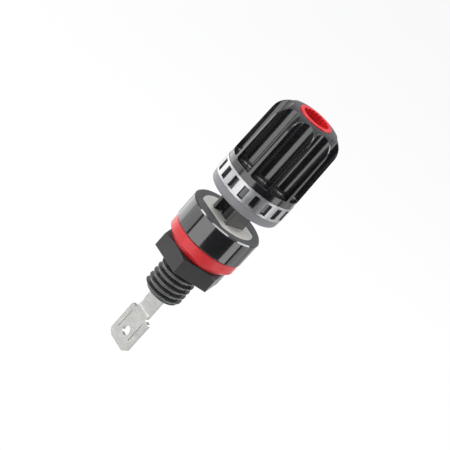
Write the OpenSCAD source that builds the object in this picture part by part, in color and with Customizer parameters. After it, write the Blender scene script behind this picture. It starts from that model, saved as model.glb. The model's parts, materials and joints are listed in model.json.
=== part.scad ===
// Panel binding post with a 4 mm plug socket in its knob and a push-on blade tab.
// Frame: +Z runs up the post's axis towards the knob. The origin is the centre of the
// base flange's underside, the face that sits on a panel. The blade faces -Y and +Y.
// The knob is drawn fully unscrewed, held up by the snap ring on the socket sleeve.

/* [Base] */
// Diameter of the base flange
base_d = 15.2; // [14:0.1:20]
// Height of the base flange
base_h = 5.5; // [4:0.1:10]
// Chamfer round the flange's top and bottom edges
base_edge = 0.25; // [0.1:0.05:0.5]
// Diameter of the shank that goes through the panel
shank_d = 8; // [7.4:0.1:10]
// Length of the shank below the flange
shank_len = 14.6; // [12:0.1:24]
// Chamfer at the shank's lower end
shank_edge = 0.7; // [0.3:0.1:1]

/* [Guide legs] */
// Overall width of the two guide legs, both ways
legs_w = 5.2; // [4.8:0.1:6]
// Thickness of each leg
leg_t = 0.7; // [0.5:0.1:0.9]
// Rounding of the legs' outer corners
leg_round = 0.15; // [0.05:0.05:0.3]
// Height of the legs above the base flange
leg_rise = 7.9; // [7.2:0.1:9]

/* [Contact plate] */
// Diameter of the contact plate
plate_d = 11.7; // [10.6:0.1:12.4]
// Distance between the plate's two flats
plate_flats = 9.2; // [8:0.1:10]
// Thickness of the plate
plate_t = 0.8; // [0.4:0.1:1.2]
// How far the plate lies below the base's rim
plate_sink = 0.05; // [0.05:0.05:0.4]

/* [Contact pin and socket sleeve] */
// Diameter of the pin between the legs
pin_d = 3; // [2.4:0.1:3.2]
// Diameter of the pin inside the shank
pin_shank_d = 4.4; // [4.2:0.1:5]
// Outer diameter of the threaded sleeve
sleeve_d = 6; // [5.6:0.1:6.4]
// Diameter of the plug socket
socket_d = 4; // [3.6:0.1:4.2]
// Length of the sleeve
sleeve_len = 10; // [9.6:0.1:12]
// Thickness of the sleeve's solid foot
sleeve_foot = 1.2; // [0.8:0.1:2]
// Pitch of the knob's thread
knob_pitch = 0.75; // [0.5:0.05:1]

/* [Knob] */
// Largest diameter of the fluted grip, at its foot
grip_d = 15.24; // [14.4:0.1:20]
// Diameter of the grip at its shoulder
grip_top_d = 14.8; // [14:0.1:19]
// Height of the grip above the window ring
grip_h = 15.3; // [14.6:0.1:20]
// Height of the plain band under the flutes
grip_band = 1.45; // [0.8:0.1:3]
// Radius of the rounded crown
crown_r = 3.5; // [2.5:0.1:4.5]
// Number of flutes
flutes = 10; // [8:1:12]
// Radius of each flute
flute_r = 2.05; // [1.4:0.05:2.05]
// Distance of the flutes' centres from the axis
flute_at = 7.05; // [6.9:0.05:8]
// Rounding at the flutes' lower ends
flute_round = 0.35; // [0.1:0.05:0.6]
// Travel of the knob from open to closed
travel = 4.4; // [3.6:0.1:4.45]

/* [Window ring] */
// Outer diameter of the window ring
ring_d = 15.4; // [14.6:0.1:20]
// Wall of the window ring
ring_wall = 0.5; // [0.3:0.05:0.7]
// Height of the window ring
ring_h = 3.35; // [2.8:0.05:5]
// Number of windows
windows = 18; // [12:1:20]
// Width of each window
window_w = 1.28; // [0.8:0.02:1.4]
// Height of the rails above and below the windows
window_rail = 0.45; // [0.3:0.05:0.6]
// Angle of the first window from the -Y side
window_turn = 9; // [0:1:20]

/* [Pressure ring] */
// Diameter of the pressure ring's upper edge
press_d = 15.3; // [14.6:0.1:20]
// Height of the pressure ring's visible skirt
press_h = 1.9; // [1.6:0.1:3]
// Rounding of the pressure ring's lower edge
press_round = 0.7; // [0.3:0.1:0.9]
// Diameter of the clamp washer in its underside
washer_d = 12.6; // [11:0.1:13]
// Thickness of the clamp washer
washer_t = 0.6; // [0.4:0.1:0.8]

/* [Colour insert] */
// Outer diameter of the colour insert
insert_d = 7.1; // [6.9:0.1:7.6]
// Clear diameter through the colour insert
insert_bore = 5.7; // [5:0.1:6]
// How far the insert stands out of the crown
insert_proud = 0.25; // [0.1:0.05:0.5]
// Number of splines in the insert
splines = 20; // [12:1:28]
// Radius of each spline
spline_r = 0.16; // [0.1:0.02:0.2]

/* [Panel hardware] */
// Diameter of the marking ring
mark_d = 14.8; // [14:0.1:20]
// Thickness of the marking ring
mark_h = 3.3; // [2:0.1:5]
// Chamfer under the marking ring
mark_edge = 1.2; // [0.5:0.1:1.6]
// Width of the panel nut across its flats
nut_af = 12.8; // [12:0.1:16]
// Height of the panel nut
nut_h = 3.6; // [2.5:0.1:6]
// Pitch of the shank's thread
nut_pitch = 1.25; // [0.5:0.05:1.5]

/* [Blade tab] */
// Width of the blade
tab_w = 6.3; // [4.8:0.1:6.5]
// Length of the blade
tab_len = 7.9; // [6.5:0.1:10]
// Thickness of the blade and its neck
tab_t = 0.8; // [0.5:0.05:1]
// Width of the neck
neck_w = 3.7; // [3:0.1:3.8]
// Length of the neck that shows below the shank
neck_len = 5.8; // [4.5:0.1:10]
// Diameter of the hole in the blade
tab_hole = 2; // [1.2:0.1:2.4]
// Distance of the hole from the blade's tip
tab_hole_up = 3.4; // [2.6:0.1:4]
// Length of the bevels at the blade's tip
tab_bevel = 0.7; // [0.3:0.1:1]
// Height of the bending groove across the neck
bend_h = 1.9; // [1:0.1:2.4]
// Depth of the bending groove
bend_deep = 0.25; // [0.1:0.05:0.3]

/* [Clearances] */
// Radial clearance between threads, drawn here as plain walls
thread_gap = 0.05; // [0.02:0.01:0.1]
// Clearance of pieces that slide past each other
slide_gap = 0.1; // [0.05:0.01:0.15]
// Clearance of pieces that are pressed together
press_gap = 0.02; // [0.01:0.01:0.05]

/* [Hidden] */
$fn = 96;

// heights of the fixed pieces
plate_top = base_h - plate_sink;
plate_under = plate_top - plate_t;
leg_top = base_h + leg_rise;
sleeve_top = leg_top + sleeve_len;
shank_end = -shank_len;
pin_end = shank_end + shank_edge;
pin_slot = 5;

// the knob's stack, fully unscrewed
gap_open = travel + slide_gap;
press_z = base_h + gap_open;
ring_z = press_z + press_h + slide_gap / 2;
grip_z = ring_z + ring_h;
grip_top = grip_z + grip_h;
hub_neck_h = 0.6;
hub_flange_h = 0.6;
hub_neck_d = 9.8;
hub_flange_d = 10.6;
hub_neck_top = press_z + press_h + hub_neck_h;
hub_top = hub_neck_top + hub_flange_h;
cavity_d = 8.2;
bush_z = leg_top + travel + slide_gap;
snap_h = 0.6;
snap_z = sleeve_top - snap_h - 0.45;
snap_d = sleeve_d + 0.5;
snap_groove_d = sleeve_d - 0.5;
bush_top = snap_z - slide_gap / 2;
bush_d = 8.8;
bush_waist_d = 8;
bush_band = (bush_top - bush_z) * 0.36;
knurls = 30;
knurl_r = 0.2;
bore_over = snap_d + 4 * slide_gap;
insert_z = sleeve_top + travel + 1.5 * slide_gap;
insert_top = grip_top + insert_proud;
lip_round = 0.2;
lip_d = insert_d + 0.12;

// panel hardware and blade
mark_land = 0.06;
nut_z = -mark_h - nut_h;
nut_edge_angle = 30;
neck_z = shank_end - neck_len;
tab_z = neck_z - tab_len;
tab_corner = 1.05;
neck_round = 0.25;
tab_shoulder = 0.2;
bend_z = neck_z + bend_h / 2 + 0.85;
coin_in = 1.15;
coin_w = 0.14;
coin_deep = 0.12;
coin_len = 4.6;
coin_z = neck_z - 0.9;
eps = 0.01;

black = [0.07, 0.07, 0.075];
satin_black = [0.13, 0.13, 0.14];
red = [0.85, 0.08, 0.1];
grey = [0.43, 0.43, 0.46];
nickel = [0.78, 0.78, 0.8];
brass = [0.8, 0.66, 0.36];
tin = [0.75, 0.75, 0.74];

// a square bar's outline with rounded corners, w across the flats
module rounded_square(w, r) {
    square([w - 2 * r, w], center = true);
    square([w, w - 2 * r], center = true);
    for (x = [-1, 1], y = [-1, 1])
        translate([x * (w / 2 - r), y * (w / 2 - r)])
            circle(r, $fn = 24);
}

// a disc's outline with two flats that face -Y and +Y
module two_flat_disc(d, flats) {
    intersection() {
        circle(d = d);
        square([d, flats], center = true);
    }
}

// the outline of both guide legs, grown by gap all round
module legs_outline(gap = 0) {
    side = legs_w / 2 - leg_t - gap;
    intersection() {
        rounded_square(legs_w + 2 * gap, leg_round + gap);
        for (x = [-1, 1])
            translate([x * (side + leg_t), 0])
                square([2 * leg_t, legs_w + 2 * gap], center = true);
    }
}

// the moulded insulator: flange, threaded shank and the two guide legs
module base_body() {
    r = base_d / 2;
    s = shank_d / 2;
    color(black)
    difference() {
        union() {
            rotate_extrude()
                polygon([
                    [0, shank_end], [s - shank_edge, shank_end], [s, shank_end + shank_edge],
                    [s, 0], [r - base_edge, 0], [r, base_edge],
                    [r, base_h - base_edge], [r - base_edge, base_h], [0, base_h]
                ]);
            translate([0, 0, plate_under])
                linear_extrude(leg_top - plate_under)
                    legs_outline();
        }
        difference() {
            translate([0, 0, plate_under])
                linear_extrude(plate_t + plate_sink + eps)
                    two_flat_disc(plate_d + 2 * press_gap, plate_flats + 2 * press_gap);
            translate([0, 0, plate_under - eps])
                linear_extrude(leg_top)
                    legs_outline();
        }
        translate([0, 0, shank_end - eps])
            cylinder(d = pin_shank_d + 2 * press_gap, h = plate_under - shank_end + 2 * eps);
    }
}

// the plated disc that the wire is clamped on
module contact_plate() {
    color(nickel)
    translate([0, 0, plate_under])
    linear_extrude(plate_t)
    difference() {
        two_flat_disc(plate_d, plate_flats);
        legs_outline(slide_gap / 2);
        circle(d = pin_d + 2 * press_gap);
    }
}

// the plated pin that joins the blade, the contact plate and the socket sleeve
module contact_pin() {
    color(nickel)
    difference() {
        union() {
            translate([0, 0, pin_end])
                cylinder(d = pin_shank_d, h = plate_under - pin_end);
            translate([0, 0, plate_under])
                cylinder(d = pin_d, h = leg_top + sleeve_foot - plate_under);
        }
        translate([-pin_shank_d, -tab_t / 2 - press_gap, pin_end - eps])
            cube([2 * pin_shank_d, tab_t + 2 * press_gap, pin_slot]);
    }
}

// the threaded sleeve with the plug socket, its foot on top of the guide legs
module socket_sleeve() {
    mouth = 0.3;
    color(nickel)
    difference() {
        translate([0, 0, leg_top])
            rotate_extrude()
                polygon([
                    [0, 0], [sleeve_d / 2, 0], [sleeve_d / 2, snap_z - leg_top],
                    [snap_groove_d / 2, snap_z - leg_top],
                    [snap_groove_d / 2, snap_z + snap_h - leg_top],
                    [sleeve_d / 2, snap_z + snap_h - leg_top],
                    [sleeve_d / 2, sleeve_len - mouth / 2],
                    [sleeve_d / 2 - mouth / 2, sleeve_len], [0, sleeve_len]
                ]);
        translate([0, 0, leg_top + sleeve_foot])
            cylinder(d = socket_d, h = sleeve_len);
        translate([0, 0, sleeve_top - mouth])
            cylinder(d1 = socket_d, d2 = socket_d + 2 * mouth + eps, h = mouth + eps);
        translate([0, 0, leg_top - eps])
            cylinder(d = pin_d + 2 * press_gap, h = sleeve_foot + 2 * eps);
    }
}

// the open snap ring that keeps the knob from coming off
module snap_ring() {
    mouth_angle = 50;
    color(nickel)
    translate([0, 0, snap_z])
    rotate_extrude(angle = 360 - mouth_angle)
    translate([snap_groove_d / 2, 0])
    square([(snap_d - snap_groove_d) / 2, snap_h]);
}

// the flat push-on blade with its neck, which runs up into the pin's slot
module blade_tab() {
    root_top = pin_end + pin_slot - 0.5;
    groove_r = (pow(bend_h / 2, 2) + pow(bend_deep, 2)) / (2 * bend_deep);
    bevel_in = tab_t * 0.3;
    color(tin)
    difference() {
        translate([0, tab_t / 2, 0])
        rotate([90, 0, 0])
        linear_extrude(tab_t)
        difference() {
            polygon([
                [-neck_w / 2, root_top], [neck_w / 2, root_top],
                [neck_w / 2, neck_z + neck_round], [neck_w / 2 + neck_round, neck_z],
                [tab_w / 2 - tab_shoulder, neck_z], [tab_w / 2, neck_z - tab_shoulder],
                [tab_w / 2, tab_z + tab_corner], [tab_w / 2 - tab_corner, tab_z],
                [-tab_w / 2 + tab_corner, tab_z], [-tab_w / 2, tab_z + tab_corner],
                [-tab_w / 2, neck_z - tab_shoulder], [-tab_w / 2 + tab_shoulder, neck_z],
                [-neck_w / 2 - neck_round, neck_z], [-neck_w / 2, neck_z + neck_round]
            ]);
            translate([0, tab_z + tab_hole_up])
                circle(d = tab_hole);
        }
        // the lead-in bevels of the tip, front and back
        rotate([90, 0, 90])
        linear_extrude(2 * tab_w, center = true)
        for (y = [-1, 1])
            polygon([
                [y * (tab_t / 2 + eps), tab_z + tab_bevel], [y * (tab_t / 2 - bevel_in), tab_z - eps],
                [y * (tab_t / 2 + eps), tab_z - eps]
            ]);
        // the bending groove across the neck
        translate([0, -tab_t / 2 - groove_r + bend_deep, bend_z])
            rotate([0, 90, 0])
                cylinder(r = groove_r, h = 2 * tab_w, center = true);
        // the coined lines along the blade
        for (x = [-1, 1])
            translate([x * (tab_w / 2 - coin_in) - coin_w / 2, -tab_t / 2 - eps, coin_z - coin_len])
                cube([coin_w, coin_deep + eps, coin_len]);
    }
}

// the grey ring that presses on the wire: it rises with the knob but the legs keep it from turning
module pressure_ring() {
    r = press_d / 2;
    foot = r - 0.12;
    color(grey)
    translate([0, 0, press_z])
    difference() {
        rotate_extrude()
            union() {
                square([foot - press_round, press_h]);
                translate([0, press_round])
                    polygon([[0, 0], [foot, 0], [r, press_h - press_round], [0, press_h - press_round]]);
                translate([foot - press_round, press_round])
                    circle(press_round);
                square([hub_neck_d / 2, press_h + hub_neck_h + eps]);
                translate([0, press_h + hub_neck_h])
                    square([hub_flange_d / 2, hub_flange_h]);
            }
        translate([0, 0, -eps])
            cylinder(d = washer_d + 2 * press_gap, h = washer_t + eps);
        translate([0, 0, -eps])
            linear_extrude(base_d)
                rounded_square(legs_w + 2 * slide_gap, leg_round + slide_gap);
    }
}

// the plated washer that closes on the contact plate
module clamp_washer() {
    color(nickel)
    translate([0, 0, press_z])
    linear_extrude(washer_t)
    difference() {
        circle(d = washer_d);
        rounded_square(legs_w + 2 * slide_gap, leg_round + slide_gap);
    }
}

// one flute's cutter, rounded at its lower end
module flute_cutter() {
    tall = grip_h;
    rotate_extrude()
        union() {
            square([flute_r - flute_round, tall]);
            translate([0, flute_round])
                square([flute_r, tall - flute_round]);
            translate([flute_r - flute_round, flute_round])
                circle(flute_round, $fn = 32);
        }
}

// the black grip: a domed, deeply fluted sleeve round the knob's thread
module knob_grip() {
    foot_r = ring_d / 2 - ring_wall - press_gap;
    foot_z = ring_z + slide_gap / 2;
    crown_z = grip_h - crown_r;
    color(black)
    difference() {
        union() {
            translate([0, 0, foot_z])
                cylinder(r = foot_r, h = grip_z - foot_z + eps);
            translate([0, 0, grip_z])
                rotate_extrude()
                    union() {
                        polygon([
                            [0, 0], [grip_d / 2, 0], [grip_d / 2, grip_band],
                            [grip_top_d / 2, crown_z], [0, crown_z]
                        ]);
                        translate([0, crown_z - eps])
                            square([grip_top_d / 2 - crown_r, crown_r + eps]);
                        intersection() {
                            translate([grip_top_d / 2 - crown_r, crown_z])
                                circle(crown_r, $fn = 180);
                            translate([0, crown_z - eps])
                                square([grip_top_d / 2, crown_r + 1]);
                        }
                    }
        }
        for (i = [0 : flutes - 1])
            rotate([0, 0, i * 360 / flutes])
                translate([0, -flute_at, grip_z + grip_band])
                    flute_cutter();
        // the groove and lip that hold the pressure ring's hub
        translate([0, 0, foot_z - eps])
            cylinder(d = hub_neck_d + 2 * slide_gap, h = hub_neck_h + slide_gap + 2 * eps);
        translate([0, 0, hub_neck_top - slide_gap / 2])
            cylinder(d = hub_flange_d + 2 * slide_gap, h = hub_flange_h + 2 * slide_gap);
        translate([0, 0, foot_z])
            cylinder(d = cavity_d, h = bush_z - foot_z + eps);
        // the seat of the thread bush and the bore above it
        translate([0, 0, bush_z])
            cylinder(d = bush_d + 2 * press_gap, h = bush_top - bush_z);
        translate([0, 0, bush_z])
            cylinder(d = bore_over, h = grip_h);
        translate([0, 0, insert_z])
            cylinder(d = insert_d + 2 * press_gap, h = grip_h);
    }
}

// the knurled brass bush that is moulded into the grip and runs on the sleeve
module thread_bush() {
    height = bush_top - bush_z;
    color(brass)
    difference() {
        union() {
            for (z = [0, height - bush_band])
                translate([0, 0, bush_z + z])
                    linear_extrude(bush_band)
                        difference() {
                            circle(d = bush_d);
                            for (i = [0 : knurls - 1])
                                rotate(i * 360 / knurls)
                                    translate([bush_d / 2, 0])
                                        circle(knurl_r, $fn = 16);
                        }
            translate([0, 0, bush_z])
                cylinder(d = bush_waist_d, h = height);
        }
        translate([0, 0, bush_z - eps])
            cylinder(d = sleeve_d + 2 * thread_gap, h = height + 2 * eps);
    }
}

// the plated band of windows round the grip's foot
module window_ring() {
    r = ring_d / 2;
    color(nickel)
    translate([0, 0, ring_z])
    difference() {
        cylinder(r = r, h = ring_h);
        translate([0, 0, -eps])
            cylinder(r = r - ring_wall, h = ring_h + 2 * eps);
        for (i = [0 : windows - 1])
            rotate([0, 0, window_turn + i * 360 / windows])
                translate([0, -r, ring_h / 2])
                    cube([window_w, 4 * ring_wall, ring_h - 2 * window_rail], center = true);
    }
}

// the splined red insert round the plug's way in
module colour_insert() {
    height = insert_top - insert_z;
    color(red)
    translate([0, 0, insert_z])
    difference() {
        rotate_extrude()
            union() {
                square([insert_d / 2, height - insert_proud]);
                translate([0, height - insert_proud])
                    difference() {
                        square([lip_d / 2, insert_proud]);
                        translate([lip_d / 2 - lip_round, insert_proud - lip_round])
                            difference() {
                                square(2 * lip_round);
                                circle(lip_round, $fn = 32);
                            }
                    }
            }
        translate([0, 0, -eps])
            linear_extrude(height + 2 * eps)
                difference() {
                    circle(d = insert_bore);
                    for (i = [0 : splines - 1])
                        rotate(i * 360 / splines)
                            translate([insert_bore / 2, 0])
                                circle(spline_r, $fn = 16);
                }
        translate([0, 0, height - 2 * spline_r])
            cylinder(d1 = insert_bore - 4 * spline_r, d2 = insert_bore + eps, h = 2 * spline_r + eps);
    }
}

// the red ring that marks the post, loose on the shank
module marking_ring() {
    r = mark_d / 2;
    color(red)
    difference() {
        rotate_extrude()
            polygon([
                [0, -mark_h], [r - mark_edge, -mark_h], [r, -mark_h + mark_edge],
                [r, -mark_land], [r - mark_land, 0], [0, 0]
            ]);
        translate([0, 0, -mark_h - eps])
            cylinder(d = shank_d + 2 * slide_gap, h = mark_h + 2 * eps);
    }
}

// the plastic hex nut, chamfered on the side that meets the panel
module panel_nut() {
    corner_r = nut_af / 2 / cos(30);
    chamfer_r = nut_af / 2 - 0.2;
    rise = (corner_r - chamfer_r) * tan(nut_edge_angle);
    color(satin_black)
    translate([0, 0, nut_z])
    difference() {
        intersection() {
            linear_extrude(nut_h)
                circle(r = corner_r, $fn = 6);
            rotate_extrude()
                polygon([
                    [0, 0], [corner_r, 0], [corner_r, nut_h - rise], [chamfer_r, nut_h], [0, nut_h]
                ]);
        }
        translate([0, 0, -eps])
            cylinder(d = shank_d + 2 * thread_gap, h = nut_h + 2 * eps);
    }
}

base_body();
contact_plate();
contact_pin();
socket_sleeve();
snap_ring();
blade_tab();
pressure_ring();
clamp_washer();
knob_grip();
thread_bush();
window_ring();
colour_insert();
marking_ring();
panel_nut();
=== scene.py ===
"""Dresses the panel binding post: its moulded thread, a finish for every piece, the studio and the camera."""

from __future__ import annotations

import json
import logging
import math
from dataclasses import dataclass, field
from enum import Enum
from typing import Any, Mapping, Sequence, Union

import bpy
from mathutils import Matrix, Vector

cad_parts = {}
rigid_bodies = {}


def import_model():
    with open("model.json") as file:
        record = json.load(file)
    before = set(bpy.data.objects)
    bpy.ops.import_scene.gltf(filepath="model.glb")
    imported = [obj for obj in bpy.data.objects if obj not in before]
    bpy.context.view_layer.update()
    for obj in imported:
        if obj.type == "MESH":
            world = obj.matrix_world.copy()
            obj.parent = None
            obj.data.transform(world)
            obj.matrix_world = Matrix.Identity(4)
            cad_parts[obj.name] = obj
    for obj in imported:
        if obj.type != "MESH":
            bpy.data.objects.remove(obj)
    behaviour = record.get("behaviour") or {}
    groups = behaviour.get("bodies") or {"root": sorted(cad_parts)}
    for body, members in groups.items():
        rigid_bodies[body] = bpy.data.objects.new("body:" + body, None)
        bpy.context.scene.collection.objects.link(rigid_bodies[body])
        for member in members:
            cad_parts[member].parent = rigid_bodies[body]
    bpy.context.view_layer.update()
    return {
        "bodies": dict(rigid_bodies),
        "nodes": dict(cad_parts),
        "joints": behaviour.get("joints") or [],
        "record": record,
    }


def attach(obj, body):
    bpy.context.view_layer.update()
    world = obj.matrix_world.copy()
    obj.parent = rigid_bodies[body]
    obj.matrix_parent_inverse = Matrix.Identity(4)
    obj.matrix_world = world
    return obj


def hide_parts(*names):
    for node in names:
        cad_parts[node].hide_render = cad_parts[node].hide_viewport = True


LOG = logging.getLogger("binding_post")
MM = 0.001
NOISE_ROUGHNESS = 0.55
BEVEL_SAMPLES = 6
MIDDLE = 0.5
MERGE_DISTANCE = MM / 500
CAD_MERGE_DISTANCE = MM / 1000
Colour = tuple[float, float, float, float]


# ---------------------------------------------------------------- shader graph


class Term:
    """A socket whose arithmetic adds Math nodes to its graph."""

    def __init__(self, graph: "Graph", socket: bpy.types.NodeSocket) -> None:
        """Wrap a socket.

        Args:
            graph: The graph that the socket's node belongs to.
            socket: The output socket.
        """
        self.graph = graph
        self.socket = socket

    def _math(self, operation: str, first: "Input", second: "Input" = 0.0) -> "Term":
        """Add one Math node and return its result."""
        return self.graph.add("ShaderNodeMath", {"operation": operation}, {0: first, 1: second})

    def __add__(self, other: Input) -> "Term":
        """Return self + other."""
        return self._math("ADD", self, other)

    def __radd__(self, other: Input) -> "Term":
        """Return other + self."""
        return self._math("ADD", other, self)

    def __sub__(self, other: Input) -> "Term":
        """Return self - other."""
        return self._math("SUBTRACT", self, other)

    def __rsub__(self, other: Input) -> "Term":
        """Return other - self."""
        return self._math("SUBTRACT", other, self)

    def __mul__(self, other: Input) -> "Term":
        """Return self * other."""
        return self._math("MULTIPLY", self, other)

    def __rmul__(self, other: Input) -> "Term":
        """Return other * self."""
        return self._math("MULTIPLY", other, self)

    def power(self, exponent: float) -> "Term":
        """Return self raised to an exponent."""
        return self._math("POWER", self, exponent)

    def ramp(self, low: float, high: float) -> "Term":
        """Return 0 below low, 1 above high and a smooth step between them.

        Args:
            low: The value where the step starts.
            high: The value where the step ends.

        Returns:
            The stepped value.
        """
        return self.graph.add(
            "ShaderNodeMapRange",
            {"interpolation_type": "SMOOTHSTEP"},
            {"Value": self, "From Min": low, "From Max": high, "To Min": 0.0, "To Max": 1.0},
        )


Input = Union[Term, float, Sequence[float]]


class Graph:
    """A material's node tree, read in millimetres of its piece's own coordinates."""

    def __init__(self, name: str) -> None:
        """Start a material with one Principled BSDF.

        Args:
            name: The material's name.
        """
        self.material = bpy.data.materials.new(name)
        self.material.use_nodes = True
        self.nodes = self.material.node_tree.nodes
        self.links = self.material.node_tree.links
        self.shader = self.nodes["Principled BSDF"]

    def add(
        self,
        kind: str,
        settings: Mapping[str, Any] | None = None,
        inputs: Mapping[Union[int, str], Input] | None = None,
        output: Union[int, str] = 0,
    ) -> Term:
        """Add a node of any type.

        Args:
            kind: The node's type.
            settings: The node's own properties.
            inputs: Values or terms for its input sockets, by name or number.
            output: The output socket to return.

        Returns:
            The chosen output.
        """
        node = self.nodes.new(kind)
        for name, value in (settings or {}).items():
            setattr(node, name, value)
        for name, value in (inputs or {}).items():
            self.feed(node.inputs[name], value)
        return Term(self, node.outputs[output])

    def feed(self, socket: bpy.types.NodeSocket, value: Input) -> None:
        """Link a term to a socket, or set the socket's own value."""
        if isinstance(value, Term):
            self.links.new(value.socket, socket)
        else:
            socket.default_value = value

    def set(self, **values: Input) -> None:
        """Feed the shader's sockets.

        Args:
            values: Socket names, with _ for a space, and what goes into them.
        """
        for name, value in values.items():
            self.feed(self.shader.inputs[name.replace("_", " ")], value)

    def place(self, stretch: Sequence[float] = (1.0, 1.0, 1.0)) -> Term:
        """Return the piece's own coordinates in millimetres, stretched along its axes."""
        coords = self.add("ShaderNodeTexCoord", output="Object")
        scale = [value / MM for value in stretch]
        return self.add("ShaderNodeMapping", {"vector_type": "POINT"}, {"Vector": coords, "Scale": scale})

    def axes(self) -> tuple[Term, Term, Term]:
        """Return x, y and z in millimetres."""
        split = self.add("ShaderNodeSeparateXYZ", inputs={"Vector": self.place()})
        outputs = split.socket.node.outputs
        return Term(self, outputs[0]), Term(self, outputs[1]), Term(self, outputs[2])

    def radius(self) -> Term:
        """Return the distance from the post's axis in millimetres."""
        x, y, _ = self.axes()
        return (x * x + y * y).power(0.5)

    def noise(
        self, scale: float, detail: float = 3.0, stretch: Sequence[float] = (1.0, 1.0, 1.0)
    ) -> Term:
        """Return fractal noise from 0 to 1.

        Args:
            scale: Features per millimetre.
            detail: Octaves.
            stretch: How much finer the noise is along each axis.

        Returns:
            The noise value.
        """
        return self.add(
            "ShaderNodeTexNoise",
            inputs={
                "Vector": self.place(stretch),
                "Scale": scale,
                "Detail": detail,
                "Roughness": NOISE_ROUGHNESS,
            },
        )

    def mix(self, factor: Input, first: Colour, second: Colour) -> Term:
        """Return a blend of two colours."""
        return self.add(
            "ShaderNodeMix",
            {"data_type": "RGBA"},
            {0: factor, 6: first, 7: second},
            output=2,
        )

    def relief(self, height: Input, depth: float, rounding: float) -> Term:
        """Return a normal with a relief on it and softened edges.

        Args:
            height: The relief, from 0 to 1.
            depth: Its depth in millimetres.
            rounding: The radius of softened edges in millimetres.

        Returns:
            The normal.
        """
        soft = self.add("ShaderNodeBevel", {"samples": BEVEL_SAMPLES}, {"Radius": rounding * MM})
        return self.add(
            "ShaderNodeBump",
            inputs={"Strength": 1.0, "Distance": depth * MM, "Height": height, "Normal": soft},
        )


# ---------------------------------------------------------------- finishes


@dataclass(frozen=True)
class MouldedPlastic:
    """An injection moulded plastic with a fine skin and faint flow marks."""

    name: str
    colour: Colour
    pale: Colour
    roughness: float
    spread: float = 0.05
    grain: float = 9.0
    depth: float = 0.0006
    rounding: float = 0.12
    index: float = 1.5
    flow_scale: float = 0.25
    flow_step: tuple[float, float] = (0.35, 0.75)

    def material(self) -> bpy.types.Material:
        """Build the plastic.

        Returns:
            The material.
        """
        graph = Graph(self.name)
        flow = graph.noise(self.flow_scale, 2.0)
        skin = graph.noise(self.grain, 3.0)
        graph.set(
            Base_Color=graph.mix(flow.ramp(*self.flow_step), self.colour, self.pale),
            Roughness=self.roughness + (flow - MIDDLE) * self.spread + (skin - MIDDLE) * self.spread,
            Normal=graph.relief(skin, self.depth, self.rounding),
            IOR=self.index,
        )
        return graph.material


@dataclass(frozen=True)
class InsulatorPlastic:
    """The base's black moulding: polished sides, an eroded, greyer top and a matt stem."""

    name: str = "insulator_black"
    colour: Colour = (0.012, 0.012, 0.013, 1.0)
    top_colour: Colour = (0.045, 0.046, 0.05, 1.0)
    roughness: float = 0.1
    top_roughness: float = 0.55
    rim_z: float = 5.3
    facing_step: tuple[float, float] = (0.8, 0.95)
    top_step: tuple[float, float] = (-1.2, -0.9)
    stem_step: tuple[float, float] = (-0.8, -0.4)
    stem_fade: float = 0.2
    skin_share: float = 0.3
    stem_r: float = 3.9
    grain: float = 9.0
    pit_scale: float = 22.0
    spread: float = 0.04
    depth: float = 0.0016
    rounding: float = 0.08
    index: float = 1.9

    def material(self) -> bpy.types.Material:
        """Build the plastic with its two textures.

        Returns:
            The material.
        """
        graph = Graph(self.name)
        _, _, z = graph.axes()
        normal = graph.add("ShaderNodeNewGeometry", output="True Normal")
        facing = graph.add("ShaderNodeSeparateXYZ", inputs={"Vector": normal})
        up = Term(graph, facing.socket.node.outputs[2])
        top = up.ramp(*self.facing_step) * (z - self.rim_z).ramp(*self.top_step)
        inside = (self.stem_r - graph.radius()).ramp(0.0, self.stem_fade)
        stem = (z - self.rim_z).ramp(*self.stem_step) * inside
        matt = (top + stem) - top * stem
        skin = graph.noise(self.grain, 3.0)
        pits = graph.noise(self.pit_scale, 4.0)
        graph.set(
            Base_Color=graph.mix(top, self.colour, self.top_colour),
            Roughness=self.roughness
            + (skin - MIDDLE) * self.spread
            + matt * (self.top_roughness - self.roughness),
            Normal=graph.relief(skin * self.skin_share + pits * top, self.depth, self.rounding),
            IOR=self.index,
        )
        return graph.material


class Lay(Enum):
    """The way that a metal's brush marks run."""

    TURNED = "turned"
    ALONG = "along"
    MOTTLED = "mottled"


@dataclass(frozen=True)
class PlatedMetal:
    """A plated or bare metal with brush marks and a slightly uneven tone."""

    name: str
    colour: Colour
    shade: Colour
    roughness: float
    lay: Lay
    depth: float = 0.0012
    rounding: float = 0.06
    metallic: float = 1.0
    ring_scale: float = 16.0
    mark_spread: float = 0.12
    tone_spread: float = 0.1
    tone_scale: float = 0.6
    tone_step: tuple[float, float] = (0.3, 0.75)
    lay_scale: float = 4.0
    lay_stretch: tuple[float, float, float] = (6.0, 6.0, 0.25)
    mottle_scale: float = 5.0

    def marks(self, graph: Graph) -> Term:
        """Return the brush marks, from 0 to 1.

        Args:
            graph: The material's graph.

        Returns:
            The height of the marks.
        """
        if self.lay is Lay.TURNED:
            _, _, z = graph.axes()
            rings = graph.add(
                "ShaderNodeCombineXYZ",
                inputs={"X": graph.radius() * self.ring_scale, "Y": z * self.ring_scale, "Z": 0.0},
            )
            return graph.add("ShaderNodeTexNoise", inputs={"Vector": rings, "Scale": 1.0, "Detail": 2.0})
        if self.lay is Lay.ALONG:
            return graph.noise(self.lay_scale, 3.0, self.lay_stretch)
        return graph.noise(self.mottle_scale, 5.0)

    def material(self) -> bpy.types.Material:
        """Build the metal.

        Returns:
            The material.
        """
        graph = Graph(self.name)
        marks = self.marks(graph)
        tone = graph.noise(self.tone_scale, 3.0)
        graph.set(
            Base_Color=graph.mix(tone.ramp(*self.tone_step), self.shade, self.colour),
            Metallic=self.metallic,
            Roughness=self.roughness
            + (marks - MIDDLE) * self.mark_spread
            + (tone - MIDDLE) * self.tone_spread,
            Normal=graph.relief(marks, self.depth, self.rounding),
        )
        return graph.material


# ---------------------------------------------------------------- modelling helpers


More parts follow.
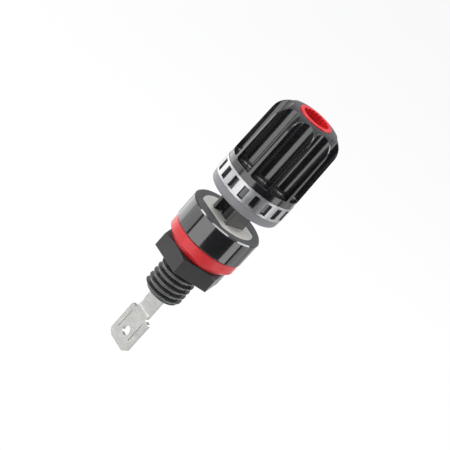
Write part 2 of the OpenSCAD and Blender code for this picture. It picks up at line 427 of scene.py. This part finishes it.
def select_only(piece: bpy.types.Object) -> None:
    """Make one object the active and only selected one."""
    bpy.ops.object.select_all(action="DESELECT")
    piece.select_set(True)
    bpy.context.view_layer.objects.active = piece


def draw_profile(name: str, points: Sequence[tuple[float, float]], closed: bool) -> bpy.types.Object:
    """Draw a line of edges in the XZ plane by extruding one vertex from point to point.

    Args:
        name: The new object's name.
        points: Radius and height of each corner in millimetres.
        closed: Whether the line returns to its first point.

    Returns:
        The object with the drawn line.
    """
    bpy.ops.object.select_all(action="DESELECT")
    first = Vector((points[0][0], 0.0, points[0][1])) * MM
    bpy.ops.mesh.primitive_plane_add(size=MM, location=first)
    piece = bpy.context.object
    piece.name = name
    bpy.ops.object.transform_apply(location=True, rotation=True, scale=True)
    bpy.ops.object.mode_set(mode="EDIT")
    bpy.ops.mesh.select_mode(type="VERT")
    bpy.ops.mesh.select_all(action="SELECT")
    bpy.ops.mesh.merge(type="CENTER")
    for start, end in zip(points, points[1:]):
        step = Vector((end[0] - start[0], 0.0, end[1] - start[1])) * MM
        bpy.ops.mesh.extrude_vertices_move(TRANSFORM_OT_translate={"value": step})
    if closed:
        step = Vector((points[0][0] - points[-1][0], 0.0, points[0][1] - points[-1][1])) * MM
        bpy.ops.mesh.extrude_vertices_move(TRANSFORM_OT_translate={"value": step})
        bpy.ops.mesh.select_all(action="SELECT")
        bpy.ops.mesh.remove_doubles(threshold=MERGE_DISTANCE)
    bpy.ops.object.mode_set(mode="OBJECT")
    return piece


def apply_modifier(piece: bpy.types.Object, kind: str, **settings: Any) -> None:
    """Give a piece one modifier and apply it.

    Args:
        piece: The object.
        kind: The modifier's type.
        settings: The modifier's properties.
    """
    select_only(piece)
    modifier = piece.modifiers.new(kind.lower(), kind)
    for name, value in settings.items():
        setattr(modifier, name, value)
    bpy.ops.object.modifier_apply(modifier=modifier.name)


def copy_of(node: str, name: str) -> bpy.types.Object:
    """Copy a CAD node's mesh into a new piece whose triangles are joined.

    Args:
        node: The CAD node.
        name: The new piece's name.

    Returns:
        The new piece.
    """
    source = FRAME["nodes"][node]
    piece = bpy.data.objects.new(name, source.data.copy())
    piece.data.transform(source.matrix_world)
    bpy.context.scene.collection.objects.link(piece)
    select_only(piece)
    bpy.ops.mesh.customdata_custom_splitnormals_clear()
    bpy.ops.object.mode_set(mode="EDIT")
    bpy.ops.mesh.select_mode(type="VERT")
    bpy.ops.mesh.select_all(action="SELECT")
    bpy.ops.mesh.remove_doubles(threshold=CAD_MERGE_DISTANCE)
    bpy.ops.object.mode_set(mode="OBJECT")
    return piece


def smooth(piece: bpy.types.Object, angle: float = 30.0) -> None:
    """Shade a piece smooth except across edges sharper than an angle in degrees."""
    select_only(piece)
    bpy.ops.object.shade_smooth_by_angle(angle=math.radians(angle))


def dress(piece: bpy.types.Object, material: bpy.types.Material) -> None:
    """Give every face of a piece one material."""
    if not piece.material_slots:
        piece.data.materials.append(material)
    for slot in piece.material_slots:
        slot.material = material


def dress_node(node: str, material: bpy.types.Material) -> None:
    """Give a CAD node its finish and report it."""
    dress(FRAME["nodes"][node], material)
    LOG.info("%s: %s", node, material.name)


# ---------------------------------------------------------------- sub-assemblies


@dataclass
class Insulator:
    """The black base with its moulded screw thread.

    The groove's root is an eighth of the pitch to each side and its flanks lean by flank_angle.
    """

    pitch: float = 1.25
    flank_angle: float = 27.0
    reach: float = 0.1
    major_r: float = 4.0
    minor_r: float = 3.26
    bore_r: float = 2.22
    end_edge: float = 0.7
    split_z: float = -0.3
    thread_top: float = -0.9
    thread_end: float = -14.6
    lift: float = 0.45
    steps: int = 64
    finish: InsulatorPlastic = field(default_factory=InsulatorPlastic)

    def groove(self) -> bpy.types.Object:
        """Model the helical groove as a solid that cuts the thread.

        Returns:
            The cutter.
        """
        root = self.pitch / 8
        reach = self.major_r + self.reach
        mouth = root + (reach - self.minor_r) * math.tan(math.radians(self.flank_angle))
        start = self.thread_end - self.pitch + self.lift
        turns = math.ceil((self.thread_top - start) / self.pitch)
        cutter = draw_profile(
            "thread_cutter",
            [
                (self.minor_r, start - root),
                (reach, start - mouth),
                (reach, start + mouth),
                (self.minor_r, start + root),
            ],
            closed=True,
        )
        apply_modifier(
            cutter,
            "SCREW",
            axis="Z",
            angle=math.tau * turns,
            screw_offset=self.pitch * turns * MM,
            iterations=1,
            steps=self.steps * turns,
            render_steps=self.steps * turns,
            use_merge_vertices=False,
            use_smooth_shade=False,
        )
        select_only(cutter)
        bpy.ops.object.mode_set(mode="EDIT")
        bpy.ops.mesh.select_mode(type="EDGE")
        bpy.ops.mesh.select_all(action="DESELECT")
        bpy.ops.mesh.select_non_manifold(extend=False)
        bpy.ops.mesh.fill_holes(sides=4)
        bpy.ops.mesh.select_all(action="SELECT")
        bpy.ops.mesh.normals_make_consistent(inside=False)
        bpy.ops.object.mode_set(mode="OBJECT")
        return cutter

    def flange(self) -> bpy.types.Object:
        """Copy the base and keep what lies above its shank.

        Returns:
            The flange with its two legs.
        """
        body = copy_of("base_body", "insulator")
        bpy.ops.object.mode_set(mode="EDIT")
        bpy.ops.mesh.select_all(action="SELECT")
        bpy.ops.mesh.bisect(
            plane_co=(0.0, 0.0, self.split_z * MM),
            plane_no=(0.0, 0.0, -1.0),
            clear_outer=True,
            use_fill=True,
        )
        bpy.ops.object.mode_set(mode="OBJECT")
        return body

    def shank(self) -> bpy.types.Object:
        """Turn the shank and cut its thread.

        Returns:
            The threaded shank.
        """
        body = draw_profile(
            "threaded_shank",
            [
                (self.bore_r, self.thread_end),
                (self.major_r - self.end_edge, self.thread_end),
                (self.major_r, self.thread_end + self.end_edge),
                (self.major_r, self.split_z),
                (self.bore_r, self.split_z),
            ],
            closed=True,
        )
        apply_modifier(
            body,
            "SCREW",
            axis="Z",
            angle=math.tau,
            steps=self.steps,
            render_steps=self.steps,
            use_merge_vertices=True,
            merge_threshold=MERGE_DISTANCE,
            use_smooth_shade=False,
        )
        select_only(body)
        bpy.ops.object.mode_set(mode="EDIT")
        bpy.ops.mesh.select_all(action="SELECT")
        bpy.ops.mesh.normals_make_consistent(inside=False)
        bpy.ops.object.mode_set(mode="OBJECT")
        cutter = self.groove()
        apply_modifier(body, "BOOLEAN", operation="DIFFERENCE", object=cutter, solver="EXACT")
        bpy.data.objects.remove(cutter, do_unlink=True)
        return body

    def build(self) -> None:
        """Put the flange and the threaded shank in the base's place."""
        material = self.finish.material()
        for body in (self.flange(), self.shank()):
            smooth(body)
            dress(body, material)
            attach(body, "post")
            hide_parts("base_body")
            LOG.info("%s: %d faces", body.name, len(body.data.polygons))


@dataclass
class Contacts:
    """The metal parts that carry the current: plate, pin, socket, snap ring and blade."""

    plate: PlatedMetal = PlatedMetal(
        "plate_nickel", (0.8, 0.78, 0.74, 1.0), (0.7, 0.68, 0.64, 1.0), 0.5, Lay.TURNED, metallic=0.5
    )
    # Painted shade: the nickel pin is coloured near black for the shade in the narrow window round it.
    pin: PlatedMetal = PlatedMetal(
        "pin_nickel_painted_shade", (0.06, 0.06, 0.06, 1.0), (0.04, 0.04, 0.04, 1.0), 0.5, Lay.TURNED
    )
    socket: PlatedMetal = PlatedMetal(
        "socket_nickel", (0.62, 0.6, 0.55, 1.0), (0.5, 0.48, 0.44, 1.0), 0.28, Lay.TURNED
    )
    spring: PlatedMetal = PlatedMetal(
        "spring_steel", (0.45, 0.45, 0.46, 1.0), (0.36, 0.36, 0.37, 1.0), 0.3, Lay.TURNED
    )
    blade: PlatedMetal = PlatedMetal(
        "blade_tin", (0.46, 0.455, 0.44, 1.0), (0.4, 0.395, 0.38, 1.0), 0.42, Lay.MOTTLED
    )

    def build(self) -> None:
        """Dress the contacts."""
        dress_node("contact_plate", self.plate.material())
        dress_node("contact_pin", self.pin.material())
        dress_node("socket_sleeve", self.socket.material())
        dress_node("snap_ring", self.spring.material())
        dress_node("blade_tab", self.blade.material())


@dataclass
class Clamp:
    """The grey pressure ring and the washer in its underside."""

    ring: MouldedPlastic = MouldedPlastic(
        "clamp_grey", (0.15, 0.15, 0.16, 1.0), (0.165, 0.165, 0.175, 1.0), 0.42, depth=0.0012
    )
    washer: PlatedMetal = PlatedMetal(
        "washer_nickel", (0.62, 0.6, 0.56, 1.0), (0.5, 0.485, 0.45, 1.0), 0.34, Lay.TURNED
    )

    def build(self) -> None:
        """Dress the clamp."""
        dress_node("pressure_ring", self.ring.material())
        dress_node("clamp_washer", self.washer.material())


@dataclass
class Knob:
    """The fluted knob with its bush, window ring and colour insert."""

    grip: MouldedPlastic = MouldedPlastic(
        "grip_black", (0.008, 0.008, 0.009, 1.0), (0.011, 0.011, 0.012, 1.0), 0.16, index=1.8
    )
    bush: PlatedMetal = PlatedMetal(
        "bush_brass", (0.66, 0.47, 0.2, 1.0), (0.55, 0.38, 0.16, 1.0), 0.3, Lay.TURNED
    )
    band: PlatedMetal = PlatedMetal(
        "band_nickel", (0.5, 0.5, 0.51, 1.0), (0.44, 0.44, 0.45, 1.0), 0.34, Lay.TURNED, depth=0.0004
    )
    insert: MouldedPlastic = MouldedPlastic(
        "insert_red", (0.5, 0.008, 0.012, 1.0), (0.56, 0.012, 0.018, 1.0), 0.35
    )

    def build(self) -> None:
        """Dress the knob."""
        dress_node("knob_grip", self.grip.material())
        dress_node("thread_bush", self.bush.material())
        dress_node("window_ring", self.band.material())
        dress_node("colour_insert", self.insert.material())


@dataclass
class PanelHardware:
    """The red marking ring and the black nut."""

    ring: MouldedPlastic = MouldedPlastic(
        "marking_red", (0.46, 0.006, 0.01, 1.0), (0.52, 0.009, 0.014, 1.0), 0.32
    )
    nut: MouldedPlastic = MouldedPlastic(
        "nut_black", (0.016, 0.016, 0.017, 1.0), (0.02, 0.02, 0.021, 1.0), 0.36, depth=0.0012, rounding=0.2
    )

    def build(self) -> None:
        """Dress the panel hardware."""
        dress_node("marking_ring", self.ring.material())
        dress_node("panel_nut", self.nut.material())


# ---------------------------------------------------------------- studio


@dataclass(frozen=True)
class Card:
    """A card that stands round the post and shows only in its reflections.

    Its start and end are degrees from the camera's side towards its right, and its level is how
    brightly it glows.
    """

    name: str
    start: float
    end: float
    level: float
    low: float = -66.0
    high: float = 20.0
    distance: float = 150.0


@dataclass(frozen=True)
class Lamp:
    """A soft area lamp placed by angles round the post, aimed at it."""

    name: str
    azimuth: float
    elevation: float
    distance: float
    width: float
    height: float
    power: float


@dataclass
class Studio:
    """The floor, the world, the lamps, the reflection cards and the camera."""

    camera_azimuth: float = 36.0
    camera_elevation: float = 19.8
    camera_distance: float = 350.0
    camera_roll: float = 41.8
    aim_z: float = 4.0
    aim_right: float = 0.5
    lens: float = 151.9
    sensor: float = 36.0
    clip_start: float = 10.0
    floor_z: float = -70.0
    floor_size: float = 6000.0
    floor_grey: float = 0.85
    floor_glow: float = 0.88
    floor_roughness: float = 0.9
    daylight: float = 0.55
    sky_colour: Colour = (0.94, 0.97, 1.0, 1.0)
    lamps: tuple[Lamp, ...] = (
        Lamp("lamp_left", -70.0, 40.0, 420.0, 260.0, 260.0, 1.5),
        Lamp("lamp_right", 110.0, 35.0, 420.0, 200.0, 260.0, 0.9),
        Lamp("lamp_front", 10.0, 60.0, 420.0, 300.0, 200.0, 1.0),
    )
    cards: tuple[Card, ...] = (
        Card("card_far_left", -148.0, -103.0, 2.3),
        Card("card_left", -103.0, -60.0, 1.3),
        Card("card_line_left", -60.0, -53.0, 0.0),
        Card("card_front_left", -53.0, -7.0, 2.0),
        Card("card_front", -7.0, 61.0, 0.0),
        Card("card_front_right", 61.0, 83.0, 2.0),
        Card("card_line_right", 83.0, 91.0, 0.0),
        Card("card_right", 91.0, 121.0, 1.0),
        Card("card_far_right", 121.0, 148.0, 0.6),
    )

    def direction(self, azimuth: float, elevation: float) -> Vector:
        """Return the unit vector to a place round the post.

        Args:
            azimuth: Degrees from the camera's side towards its right.
            elevation: Degrees above the horizon.

        Returns:
            The direction.
        """
        turn = math.radians(self.camera_azimuth + azimuth)
        rise = math.radians(elevation)
        return Vector(
            (math.sin(turn) * math.cos(rise), -math.cos(turn) * math.cos(rise), math.sin(rise))
        )

    def build_camera(self) -> None:
        """Place the camera and make it the scene's own."""
        data = bpy.data.cameras.new("camera")
        data.lens = self.lens
        data.sensor_width = self.sensor
        data.clip_start = self.clip_start * MM
        camera = bpy.data.objects.new("camera", data)
        bpy.context.scene.collection.objects.link(camera)
        away = self.direction(0.0, self.camera_elevation)
        right = Vector((0.0, 0.0, 1.0)).cross(away).normalized()
        target = (Vector((0.0, 0.0, self.aim_z)) + right * self.aim_right) * MM
        turn = (-away).to_track_quat("-Z", "Y").to_matrix().to_4x4()
        roll = Matrix.Rotation(math.radians(self.camera_roll), 4, "Z")
        camera.matrix_world = Matrix.Translation(target + away * self.camera_distance * MM) @ turn @ roll
        bpy.context.scene.camera = camera

    def build_world(self) -> None:
        """Light the scene evenly, and show white to the camera."""
        world = bpy.data.worlds.new("world")
        bpy.context.scene.world = world
        world.use_nodes = True
        nodes, links = world.node_tree.nodes, world.node_tree.links
        sky = nodes["Background"]
        sky.inputs["Color"].default_value = self.sky_colour
        sky.inputs["Strength"].default_value = self.daylight
        white = nodes.new("ShaderNodeBackground")
        white.inputs["Color"].default_value = (1.0, 1.0, 1.0, 1.0)
        paths = nodes.new("ShaderNodeLightPath")
        mixed = nodes.new("ShaderNodeMixShader")
        links.new(paths.outputs["Is Camera Ray"], mixed.inputs[0])
        links.new(sky.outputs[0], mixed.inputs[1])
        links.new(white.outputs[0], mixed.inputs[2])
        links.new(mixed.outputs[0], nodes["World Output"].inputs["Surface"])

    def build_floor(self) -> None:
        """Lay a wide pale floor that keeps a faint shadow."""
        bpy.ops.object.select_all(action="DESELECT")
        bpy.ops.mesh.primitive_plane_add(
            size=self.floor_size * MM, location=(0.0, 0.0, self.floor_z * MM)
        )
        floor = bpy.context.object
        floor.name = "floor"
        material = bpy.data.materials.new("floor_white")
        material.use_nodes = True
        nodes, links = material.node_tree.nodes, material.node_tree.links
        matt = nodes["Principled BSDF"]
        matt.inputs["Base Color"].default_value = (*(self.floor_grey,) * 3, 1.0)
        matt.inputs["Roughness"].default_value = self.floor_roughness
        glow = nodes.new("ShaderNodeEmission")
        glow.inputs["Color"].default_value = (1.0, 1.0, 1.0, 1.0)
        glow.inputs["Strength"].default_value = 1.0
        paths = nodes.new("ShaderNodeLightPath")
        share = nodes.new("ShaderNodeMath")
        share.operation = "MULTIPLY"
        share.inputs[1].default_value = self.floor_glow
        links.new(paths.outputs["Is Camera Ray"], share.inputs[0])
        mixed = nodes.new("ShaderNodeMixShader")
        links.new(share.outputs[0], mixed.inputs[0])
        links.new(matt.outputs[0], mixed.inputs[1])
        links.new(glow.outputs[0], mixed.inputs[2])
        links.new(mixed.outputs[0], nodes["Material Output"].inputs["Surface"])
        floor.data.materials.append(material)

    def build_lamp(self, lamp: Lamp) -> None:
        """Place one lamp.

        Args:
            lamp: Its size, place and power.
        """
        data = bpy.data.lights.new(lamp.name, "AREA")
        data.shape = "RECTANGLE"
        data.size = lamp.width * MM
        data.size_y = lamp.height * MM
        data.energy = lamp.power
        away = self.direction(lamp.azimuth, lamp.elevation)
        light = bpy.data.objects.new(lamp.name, data)
        bpy.context.scene.collection.objects.link(light)
        turn = (-away).to_track_quat("-Z", "Y").to_matrix().to_4x4()
        light.matrix_world = Matrix.Translation(away * lamp.distance * MM) @ turn
        light.visible_camera = False

    def build_card(self, card: Card) -> None:
        """Stand one card round the post.

        Args:
            card: Its angles, heights and brightness.
        """
        middle = (card.start + card.end) / 2
        away = self.direction(middle, 0.0)
        width = 2 * card.distance * math.tan(math.radians((card.end - card.start) / 2))
        centre = away * card.distance + Vector((0.0, 0.0, (card.low + card.high) / 2))
        bpy.ops.object.select_all(action="DESELECT")
        bpy.ops.mesh.primitive_plane_add(size=1.0)
        piece = bpy.context.object
        piece.name = card.name
        turn = away.to_track_quat("Z", "Y").to_matrix().to_4x4()
        size = Matrix.Diagonal((width * MM, (card.high - card.low) * MM, 1.0, 1.0))
        piece.matrix_world = Matrix.Translation(centre * MM) @ turn @ size
        material = bpy.data.materials.new(card.name)
        material.use_nodes = True
        nodes, links = material.node_tree.nodes, material.node_tree.links
        nodes.remove(nodes["Principled BSDF"])
        glow = nodes.new("ShaderNodeEmission")
        glow.inputs["Strength"].default_value = card.level
        links.new(glow.outputs[0], nodes["Material Output"].inputs["Surface"])
        piece.data.materials.append(material)
        piece.visible_camera = False
        piece.visible_diffuse = False
        piece.visible_transmission = False
        piece.visible_shadow = False

    def build(self) -> None:
        """Set up the whole studio."""
        self.build_world()
        self.build_floor()
        for lamp in self.lamps:
            self.build_lamp(lamp)
        for card in self.cards:
            self.build_card(card)
        self.build_camera()
        bpy.context.scene.view_settings.view_transform = "Standard"


FRAME: dict[str, Any] = {}


def main() -> None:
    """Build and dress the post and set up the studio."""
    logging.basicConfig(level=logging.INFO, format="%(name)s: %(message)s")
    FRAME.update(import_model())
    Studio().build()
    for assembly in (Insulator(), Contacts(), Clamp(), Knob(), PanelHardware()):
        assembly.build()
        LOG.info("%s is done", type(assembly).__name__)


if __name__ == "__main__":
    main()
